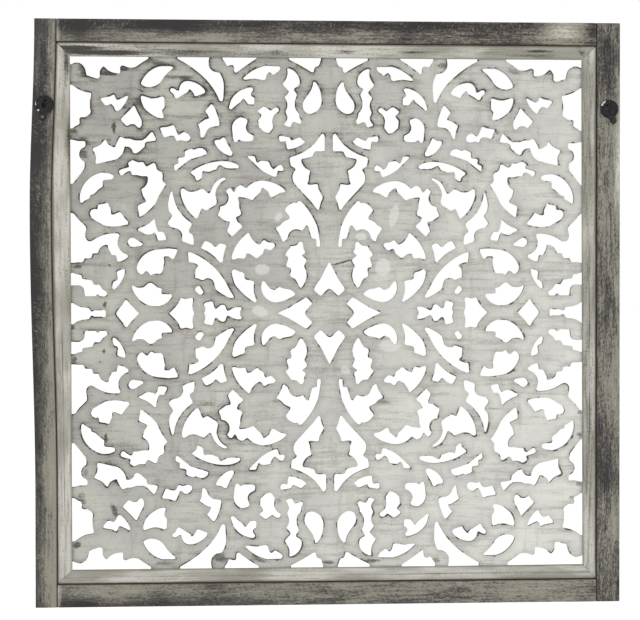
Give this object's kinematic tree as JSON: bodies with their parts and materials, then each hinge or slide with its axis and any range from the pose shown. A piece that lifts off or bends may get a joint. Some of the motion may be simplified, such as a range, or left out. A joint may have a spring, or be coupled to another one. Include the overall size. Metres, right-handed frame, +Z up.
{
  "type": "carved wall panel",
  "caption": "Square framed fretwork wall panel of scrolled leaves in grey-white distressed paint, with dark brushed frame members and keyhole hanging plates.",
  "frame": {"origin": "middle of the top rail's wall face, on the panel's upright middle line", "axes": "+X to the right as the wall side is seen, +Y from the wall face through the panel to its display side, +Z up"},
  "size_m": [0.908, 0.0292, 0.897],
  "materials": {
    "board_paint": "flat pale grey spray paint on board, with dark stained cut edges",
    "bead_paint": "worn cream-grey paint",
    "frame_wash": "dark brown-grey wash, worn to olive grey",
    "black_steel": "black, half bright",
    "bright_steel": "bright, worn"
  },
  "bodies": {
    "root": {"fretwork_board": "board_paint", "stile_left": "frame_wash", "stile_right": "frame_wash", "rail_top": "frame_wash", "rail_bottom": "frame_wash", "bead_left": "bead_paint", "bead_right": "bead_paint", "bead_top": "bead_paint", "bead_bottom": "bead_paint", "hanger_left": "black_steel", "hanger_right": "black_steel", "hanger_screw_left": "bright_steel", "hanger_screw_right": "bright_steel"}
  },
  "joints": []
}
